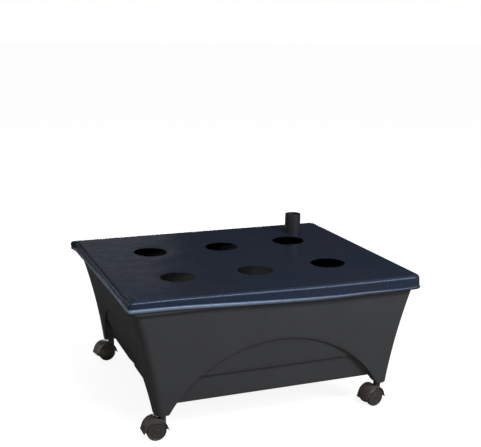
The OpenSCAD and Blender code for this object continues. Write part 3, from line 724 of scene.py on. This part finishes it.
class Film:
    """The film's shape: flat over the tub, down over the rim, and round the elastic in its hem."""

    def __init__(self, size):
        self.size = size
        self.half = COVER_HIGH.x
        self.reach = COVER_HIGH.y

    def along(self, x, y):
        """Distance from the front left corner, 1 where the hem has stopped riding up."""
        return (x + self.half + HEM_SIDE * (y + self.reach)) / HEM_RUN

    def riding(self, x, y):
        """How far the hem has ridden up the lip: 1 at the front left corner, 0 where it hasn't."""
        share = min(1.0, max(0.0, 1 - self.along(x, y)))
        return share * share * (3 - 2 * share)

    def loose(self, x, y):
        """How loosely the hem hangs: 1 along the left and the front, 0 where it's tucked under the lip."""
        share = (TUCKED_FROM - self.along(x, y)) / (TUCKED_FROM - LOOSE_TO)
        return min(1.0, max(0.0, share))

    def lift(self, x, y):
        """How far the film's edge stands up off the rim."""
        return self.size.lift * self.riding(x, y) * max(0.0, 1 - (y + self.reach) / LIFT_RUN)

    def bead(self, x, y):
        """Radius of the hem, larger where it hangs loose on the lip."""
        return self.size.bead + (self.size.bead_loose - self.size.bead) * self.loose(x, y)

    def hem(self, x, y):
        """(distance from the corner's centre, height) of the elastic's middle."""
        ride, loose = self.riding(x, y), self.loose(x, y)
        lip = self.size.corner - LIP_IN
        out = lip + (FLATTENED * self.bead(x, y) + HEM_CLEAR) * loose - HEM_TUCK * (1 - loose)
        rise = self.size.ride_up * ride - self.size.hang * (1 - ride)
        wander = WANDER * noise.noise(Vector((x, y, 0)) / WANDER_RUN)
        return out, LIP_Z + rise + wander

    def profile(self, x, y):
        """(distance from the corner's centre, height) points from the top over the shoulder to the hem."""
        size = self.size
        loose, lift = self.loose(x, y), self.lift(x, y)
        flat = size.corner - size.shoulder
        points = [(flat * i / FLAT, COVER_HIGH.z + lift * i / FLAT) for i in range(FLAT)]
        turn = COVER_HIGH.z + lift - size.shoulder
        for i in range(SHOULDER + 1):
            angle = math.pi / 2 * (1 - i / SHOULDER)
            points.append((flat + size.shoulder * math.cos(angle), turn + size.shoulder * math.sin(angle)))
        out, height = self.hem(x, y)
        # The hem's loop starts at its outer side where it's tucked, and at its top where it hangs loose
        first, last = math.radians(25 + 75 * loose), math.radians(-205 - 10 * loose)
        loop = [first + (last - first) * i / LOOP for i in range(LOOP + 1)]
        bead = self.bead(x, y)
        wide = bead * (1 - (1 - FLATTENED) * loose)
        power = 1 + 0.5 * loose  # 1 for an ellipse, more for a ridge at the upper and outer sides
        loop = [(out + wide * math.copysign(abs(math.cos(a)) ** power, math.cos(a)),
                 height + bead * math.copysign(abs(math.sin(a)) ** power, math.sin(a))) for a in loop]
        start = points[-1]
        for i in range(1, FACE):
            t = i / FACE
            points.append(tuple(s + (e - s) * t for s, e in zip(start, loop[0])))
        return points + loop

    def squared(self, x, y, z):
        """How much farther out than an arc the film stands where it doesn't follow the rim's corner."""
        size = self.size
        aside = max(0.0, abs(x) - self.half + size.corner) / size.corner
        ahead = max(0.0, abs(y) - self.reach + size.corner) / size.corner
        if x < 0 < y:
            raised = min(1.0, max(0.0, (z - LIP_Z) / (COVER_HIGH.z - 5 * MM - LIP_Z)))
            aside = max(0.0, aside - ahead * raised ** 0.5 * size.ear / size.corner)
        power = size.sharp if x < 0 else size.sharp_right
        return (aside ** power + ahead ** power) ** (-1 / power) if ahead else 1.0

    def pull(self, x, y, z):
        """How far the film stands off its even shape on the lip: faint wrinkles, and pleats at a corner."""
        wrinkle = noise.noise(Vector((x, y, 0)) / WRINKLE_RUN)
        down = min(1.0, max(0.0, (COVER_HIGH.z - z) / WRINKLE_DROP))
        near = max(0.0, 1 - math.hypot(self.half - abs(x), self.reach - abs(y)) / PLEAT_REACH)
        turn = math.atan2(abs(y) - self.reach + self.size.corner, abs(x) - self.half + self.size.corner)
        return self.size.ripple * down * (wrinkle + PLEAT_SHARE * near * math.sin(turn * PLEATS))

    def top(self, x, y):
        """Height of the film over the tub: it hangs through a little, and dips at the planting holes."""
        size = self.size
        u, v = x / (self.half - size.corner), y / (self.reach - size.corner)
        inside = max(0.0, (1 - u * u) * (1 - v * v))
        wave = SWELL * noise.noise(Vector((x, y * 1.4, 0)) / SWELL_RUN)
        wave += RUFFLE * noise.noise(Vector((x * 1.6, y, 3)) / RUFFLE_RUN)
        dip = 0.0
        for hole_x, hole_y in self.holes():
            edge = math.hypot(x - hole_x, y - hole_y) - size.hole
            dip += DIP * math.exp(-abs(edge) / DIP_RUN)
        return COVER_HIGH.z - (size.sag * inside + dip) * inside ** 0.5 + wave * inside ** 0.5

    def holes(self):
        """The middles of the planting holes."""
        size = self.size
        return [(i * size.pitch_long, j * size.pitch_short / 2) for i in (-1, 0, 1) for j in (-1, 1)]


def add_band(bm, film, rows, place):
    """Patches all round the cover: place(x, y, row) gives (distance from the corner's centre, height)."""
    corner = film.size.corner
    for quarter in range(4):
        long_side = quarter % 2 == 0
        turn = Matrix.Rotation(quarter * math.pi / 2, 3, "Z")
        half, reach = (film.half, film.reach) if long_side else (film.reach, film.half)

        def at(along, out, aside, ahead, row):
            """A point whose base is on the line of corner centres, moved out along (aside, ahead)."""
            edge = turn @ Vector((along + corner * aside, -out - corner * ahead, 0))
            distance, z = place(edge.x, edge.y, row)
            return turn @ Vector((along + distance * aside, -out - distance * ahead, z))

        def side(a, b):
            return at((2 * a - 1) * (half - corner), reach - corner, 0, 1, round(b * rows))

        def bend(a, b):
            angle = a * math.pi / 2
            return at(half - corner, reach - corner, math.sin(angle), math.cos(angle), round(b * rows))

        patch(bm, FILM_LONG if long_side else FILM_SHORT, rows, side)
        patch(bm, FILM_ARC, rows, bend)


def make_cover(size, materials):
    """The film as one sheet with its planting holes, and the elastic that runs in its hem."""
    film = Film(size)
    rows = FLAT + SHOULDER + FACE + LOOP

    def skin(x, y, row):
        distance, z = film.profile(x, y)[row]
        down = min(1.0, row / (FLAT + SHOULDER))
        return distance * film.squared(x, y, z) + film.pull(x, y, z) * down, z

    def centre(a, b):
        x = (2 * a - 1) * (film.half - size.corner)
        y = (2 * b - 1) * (film.reach - size.corner)
        return Vector((x, y, film.top(x, y)))

    bm = bmesh.new()
    patch(bm, FILM_LONG, FILM_SHORT, centre)
    add_band(bm, film, rows, skin)
    weld(bm)
    bmesh.ops.recalc_face_normals(bm, faces=bm.faces)
    top = min(bm.faces, key=lambda face: face.calc_center_median().xy.length)
    if top.normal.z < 0:
        bmesh.ops.reverse_faces(bm, faces=bm.faces)
    bmesh.ops.solidify(bm, geom=list(bm.faces), thickness=size.thickness)
    piece = add_piece("film_cover", bm, materials["film"], "mulch_cover", math.radians(50))
    tube_low, tube_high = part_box("fill_tube")
    tube = (tube_low + tube_high) / 2
    holes = [(size.hole, x, y) for x, y in film.holes()]
    holes.append(((tube_high.x - tube_low.x) / 2 + TUBE_CLEAR, tube.x, tube.y))
    drums = bmesh.new()
    for radius, x, y in holes:
        add_drum(drums, radius, RIM_Z - 20 * MM, RIM_Z + 20 * MM, Matrix.Translation((x, y, 0)))
    cut(piece, drums)

    def band(x, y, row):
        out, z = film.hem(x, y)
        turn = 2 * math.pi * row / BAND
        return out * film.squared(x, y, z) + 0.8 * MM * math.cos(turn), z + 1.4 * MM * math.sin(turn)

    bm = bmesh.new()
    add_band(bm, film, BAND, band)
    weld(bm)
    bmesh.ops.recalc_face_normals(bm, faces=bm.faces)
    add_piece("hem_elastic_band", bm, materials["elastic"], "hem_elastic")


# ---------------------------------------------------------------- inside the tub

def make_screen(material):
    """The perforated false floor with its posts and wicking wells, its edges rounded as moulded."""
    bm = copy_of_node("aeration_screen")
    round_edges(bm, 0.5 * MM, math.radians(30))
    add_piece("perforated_screen", bm, material, "aeration_screen")


def make_fill_tube(material):
    """The upright pipe: a rounded mouth, and water notches at its foot."""
    low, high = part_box("fill_tube")
    centre = (low + high) / 2
    radius, wall, notch = (high.x - low.x) / 2, 2 * MM, 6 * MM
    ring = [(radius - wall, (low.z + high.z) / 2), (radius - wall, high.z), (radius, high.z),
            (radius, low.z), (radius - wall, low.z), (radius - wall, (low.z + high.z) / 2)]
    bm = turned(softened(ring, 0.9 * MM))
    bmesh.ops.translate(bm, verts=bm.verts, vec=(centre.x, centre.y, 0))
    piece = add_piece("pipe_to_reservoir", bm, material, "fill_tube")
    for half_x, half_y in ((notch, radius + MM), (radius + MM, notch)):
        slot = bmesh.new()
        add_box(slot, (centre.x - half_x, centre.y - half_y, low.z - MM),
                (centre.x + half_x, centre.y + half_y, low.z + 2 * notch))
        cut(piece, slot)


# ---------------------------------------------------------------- the casters

def axle_frame(node, joint):
    """A place whose Z runs out along the axle from its middle, and how low and high on it the node lies."""
    pivot, axis = Vector(JOINTS[joint]["pos_m"]), Vector(JOINTS[joint]["axis"]).normalized()
    along = [(v.co - pivot).dot(axis) for v in frame["nodes"][node].data.vertices]
    if abs(min(along)) > abs(max(along)):
        axis, along = -axis, [-x for x in along]
    place = axis.to_track_quat("Z", "Y").to_matrix().to_4x4()
    place.translation = pivot
    return place, min(along), max(along)


def make_wheel(node, material):
    """A moulded wheel: rounded tread, a dished disc with a raised ring and a hub cap, hollow inside."""
    place, low, high = axle_frame(node, node + "_roll")
    box_low, box_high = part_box(node)
    radius = (box_high.z - box_low.z) / 2
    bore, cap, rim = 2.55 * MM, 4.6 * MM, radius - 4 * MM
    dish, back, cap_in = high - 0.9 * MM, high - 4.5 * MM, high - 2.5 * MM
    ring, ring_top = rim * 0.62, dish + 0.35 * MM
    profile = [
        (0, cap_in), (bore, cap_in), (bore, low), (6 * MM, low), (6.5 * MM, back),
        (rim - 0.5 * MM, back), (rim, low), (radius - 1.6 * MM, low), (radius, low + 1.6 * MM),
        (radius, high - 2 * MM), (radius - 1.6 * MM, high), (rim + 0.7 * MM, high), (rim - 0.2 * MM, dish),
        (ring + 0.9 * MM, dish), (ring + 0.5 * MM, ring_top), (ring - 0.5 * MM, ring_top),
        (ring - 0.9 * MM, dish), (cap, dish), (cap - 0.4 * MM, high - 0.1 * MM), (1.4 * MM, high), (0, high),
    ]
    bm = turned(softened(profile, 0.7 * MM), 72)
    bmesh.ops.transform(bm, matrix=place, verts=bm.verts)
    add_piece(node.replace("wheel", "twin_wheel"), bm, material, node)


def make_stem(corner, material):
    """The turned pin: chamfered ends, the collar under the foot and the groove of the grip ring."""
    low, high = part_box(corner + "_stem")
    ring_low, ring_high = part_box(corner + "_grip_ring")
    centre = (low + high) / 2
    pin, shank, collar = 3.5 * MM, 5.45 * MM, (high.x - low.x) / 2
    groove, below = shank - 1 * MM, FOOT_Z - 1.6 * MM
    profile = [
        (0, low.z), (pin - MM, low.z), (pin, low.z + MM), (pin, below), (collar, below),
        (collar, FOOT_Z), (shank, FOOT_Z), (shank, ring_low.z), (groove, ring_low.z), (groove, ring_high.z),
        (shank, ring_high.z), (shank, high.z - MM), (shank - MM, high.z), (0, high.z),
    ]
    bm = turned(softened(profile, 0.3 * MM, 2), 48)
    bmesh.ops.translate(bm, verts=bm.verts, vec=(centre.x, centre.y, 0))
    add_piece(corner + "_turned_stem", bm, material, corner + "_stem")


def make_axle(corner, material):
    """The axle pin with chamfered ends."""
    node = corner + "_axle"
    place, low, high = axle_frame(node, corner + "_wheel_front_roll")
    box_low, box_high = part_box(node)
    radius, chamfer = (box_high.z - box_low.z) / 2, 0.3 * MM
    profile = [(0, low), (radius - chamfer, low), (radius, low + chamfer), (radius, high - chamfer),
               (radius - chamfer, high), (0, high)]
    bm = turned(softened(profile, 0.2 * MM, 2), 32)
    bmesh.ops.transform(bm, matrix=place, verts=bm.verts)
    add_piece(corner + "_axle_pin", bm, material, node)


def make_caster(corner, materials):
    """One caster: the moulded hood over twin wheels, its stem, grip ring and axle."""
    bm = copy_of_node(corner + "_hood")
    round_edges(bm, 0.25 * MM, math.radians(30))
    add_piece(corner + "_moulded_hood", bm, materials["caster"], corner + "_hood")
    bm = copy_of_node(corner + "_grip_ring")
    round_edges(bm, 0.15 * MM, math.radians(30), 1)
    add_piece(corner + "_split_ring", bm, materials["steel"], corner + "_grip_ring")
    make_stem(corner, materials["steel"])
    make_axle(corner, materials["steel"])
    for side in ("front", "rear"):
        make_wheel(corner + "_wheel_" + side, materials["wheel"])


# ---------------------------------------------------------------- stage

CAMERA_PLACE = (-0.67642, -1.74653, 0.7964)
CAMERA_YAW = 0.37274    # turned to the right of +Y, in radians
CAMERA_PITCH = 0.22685  # looking down
CAMERA_ROLL = 0.01249
PHOTO_WIDTH = 481       # pixels
FOCAL_PIXELS = 874.284  # focal length in pixels of the photograph
SENSOR_WIDTH = 36.0     # mm
FLOOR_HALF = 30         # half the side of the floor, in metres

# Each light's name, place, target, size in metres, power in watts and spread in degrees
LIGHTS = (
    ("key", (1.5, -2.0, 1.4), (0.1, 0, 0.15), (1.0, 1.0), 22, 180),
    ("low left", (-2.4, -0.9, 0.35), (-0.2, 0, 0.05), (0.8, 0.5), 1.6, 180),
    ("low front", (-1.1, -2.6, 0.15), (0, 0, 0.05), (0.6, 0.25), 2, 180),
    ("overhead", (0.3, -1.45, 1.65), (0.1, -0.2, 0.25), (1.2, 0.35), 20, 180),
    ("rim", (-2.0, 2.2, 0.7), (-0.3, 0, 0.27), (1.6, 0.9), 4, 180),
    ("back", (0.1, 2.6, 0.9), (-0.2, 0.1, 0.29), (1.0, 0.5), 0.3, 180),
    ("low back", (0.7, 2.4, 0.14), (0, 0, 0.1), (1.5, 0.24), 12, 180),
    ("back caster", (-1.6, -1.6, 0.05), (-0.28, 0.2, 0), (0.12, 0.06), 0.045, 6),
)


def add_camera():
    """The camera at the place that the photograph was taken from."""
    data = bpy.data.cameras.new("camera")
    data.sensor_width = SENSOR_WIDTH
    data.lens = FOCAL_PIXELS * SENSOR_WIDTH / PHOTO_WIDTH
    camera = bpy.data.objects.new("camera", data)
    bpy.context.scene.collection.objects.link(camera)
    level = Vector((math.sin(CAMERA_YAW), math.cos(CAMERA_YAW), 0))
    ahead = level * math.cos(CAMERA_PITCH) - Vector((0, 0, math.sin(CAMERA_PITCH)))
    right = Vector((math.cos(CAMERA_YAW), -math.sin(CAMERA_YAW), 0))
    up = right.cross(ahead)
    roll = Matrix.Rotation(-CAMERA_ROLL, 3, ahead)
    turn = Matrix((roll @ right, roll @ up, -ahead)).transposed().to_4x4()
    camera.matrix_world = Matrix.Translation(CAMERA_PLACE) @ turn
    bpy.context.scene.camera = camera


def add_light(name, place, target, size, power, spread):
    """A soft rectangular light that faces a point."""
    data = bpy.data.lights.new(name, "AREA")
    data.shape = "RECTANGLE"
    data.size, data.size_y = size
    data.energy = power
    data.spread = math.radians(spread)
    light = bpy.data.objects.new(name, data)
    bpy.context.scene.collection.objects.link(light)
    light.location = place
    light.rotation_euler = (Vector(target) - Vector(place)).to_track_quat("-Z", "Y").to_euler()


def add_floor():
    """A pale floor that shows white to the camera and keeps the planter's shadow."""
    bm = bmesh.new()
    bmesh.ops.create_grid(bm, x_segments=1, y_segments=1, size=FLOOR_HALF)
    mesh = bpy.data.meshes.new("floor")
    bm.to_mesh(mesh)
    bm.free()
    floor = bpy.data.objects.new("floor", mesh)
    bpy.context.scene.collection.objects.link(floor)
    material = bpy.data.materials.new("Pale floor")
    material.use_nodes = True
    tree = material.node_tree
    tree.nodes.clear()
    plain = add_node(tree, "BsdfDiffuse", {"Color": (0.3, 0.3, 0.3, 1)})
    shown = add_node(tree, "BsdfDiffuse", {"Color": (0.45, 0.45, 0.45, 1)})
    glow = add_node(tree, "Emission", {"Strength": 0.9})
    both = add_node(tree, "AddShader", {0: shown, 1: glow})
    seen = add_node(tree, "LightPath").outputs["Is Camera Ray"]
    add_node(tree, "OutputMaterial", {"Surface": add_node(tree, "MixShader", {0: seen, 1: plain, 2: both})})
    mesh.materials.append(material)


def add_world(low, high):
    """A studio's light, dim at the horizon and brighter overhead; the camera itself sees white."""
    world = bpy.data.worlds.new("studio")
    world.use_nodes = True
    tree = world.node_tree
    tree.nodes.clear()
    ahead = add_node(tree, "TexCoord").outputs["Generated"]
    upward = add_node(tree, "SeparateXYZ", {"Vector": ahead}).outputs["Z"]
    light = add_node(tree, "MapRange", {"Value": upward, "From Min": 0.5, "To Min": low, "To Max": high})
    seen = add_node(tree, "LightPath").outputs["Is Camera Ray"]
    level = add_node(tree, "Mix", {"Factor": seen, "A": light, "B": 1.0})
    sky = add_node(tree, "Background", {"Color": (1, 1, 1, 1), "Strength": level})
    add_node(tree, "OutputWorld", {"Surface": sky})
    bpy.context.scene.world = world


# ---------------------------------------------------------------- operators

class PLANTER_OT_tub(bpy.types.Operator):
    """Build the moulded tub"""
    bl_idname = "planter.tub"
    bl_label = "Tub"

    def execute(self, context):
        make_tub(context.scene.planter_tub, shared_materials()["tub"])
        return {"FINISHED"}


class PLANTER_OT_cover(bpy.types.Operator):
    """Build the film cover and the elastic in its hem"""
    bl_idname = "planter.cover"
    bl_label = "Film cover"

    def execute(self, context):
        make_cover(context.scene.planter_cover, shared_materials())
        return {"FINISHED"}


class PLANTER_OT_inside(bpy.types.Operator):
    """Build the aeration screen and the fill tube"""
    bl_idname = "planter.inside"
    bl_label = "Screen and fill tube"

    def execute(self, context):
        make_screen(shared_materials()["screen"])
        make_fill_tube(shared_materials()["tube"])
        return {"FINISHED"}


class PLANTER_OT_casters(bpy.types.Operator):
    """Build the four casters"""
    bl_idname = "planter.casters"
    bl_label = "Casters"

    def execute(self, context):
        for corner in CORNERS:
            make_caster(corner, shared_materials())
        return {"FINISHED"}


class PLANTER_OT_stage(bpy.types.Operator):
    """Set up the floor, the lights and the camera"""
    bl_idname = "planter.stage"
    bl_label = "Stage"

    def execute(self, context):
        add_camera()
        add_floor()
        add_world(0.03, 0.4)
        for light in LIGHTS:
            add_light(*light)
        context.scene.view_settings.view_transform = "Standard"
        return {"FINISHED"}


class PLANTER_PT_panel(bpy.types.Panel):
    """The planter's sizes, colours and steps"""
    bl_label = "Rolling planter"
    bl_idname = "PLANTER_PT_panel"
    bl_space_type = "VIEW_3D"
    bl_region_type = "UI"
    bl_category = "Planter"

    def draw(self, context):
        for group in ("planter_tub", "planter_cover", "planter_colours"):
            settings = getattr(context.scene, group)
            box = self.layout.box()
            for name in settings.bl_rna.properties.keys():
                if name not in ("name", "rna_type"):
                    box.prop(settings, name)
        for step in STEPS:
            self.layout.operator(step)


GROUPS = {"planter_tub": TubSizes, "planter_cover": CoverSizes, "planter_colours": PlanterColours}
OPERATORS = (PLANTER_OT_tub, PLANTER_OT_cover, PLANTER_OT_inside, PLANTER_OT_casters, PLANTER_OT_stage)
STEPS = [operator.bl_idname for operator in OPERATORS]
MATERIALS = {}


def shared_materials():
    """The planter's materials, made once."""
    if not MATERIALS:
        scene = bpy.context.scene
        MATERIALS.update(make_materials(scene.planter_colours, scene.planter_cover))
    return MATERIALS


def register():
    for name, group in GROUPS.items():
        bpy.utils.register_class(group)
        setattr(bpy.types.Scene, name, PointerProperty(type=group))
    for item in (*OPERATORS, PLANTER_PT_panel):
        bpy.utils.register_class(item)


def unregister():
    for item in (PLANTER_PT_panel, *OPERATORS):
        bpy.utils.unregister_class(item)
    for name, group in GROUPS.items():
        delattr(bpy.types.Scene, name)
        bpy.utils.unregister_class(group)


def main():
    """Builds the planter."""
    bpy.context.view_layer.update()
    register()
    for step in STEPS:
        category, name = step.split(".")
        getattr(getattr(bpy.ops, category), name)()


if __name__ == "__main__":
    main()
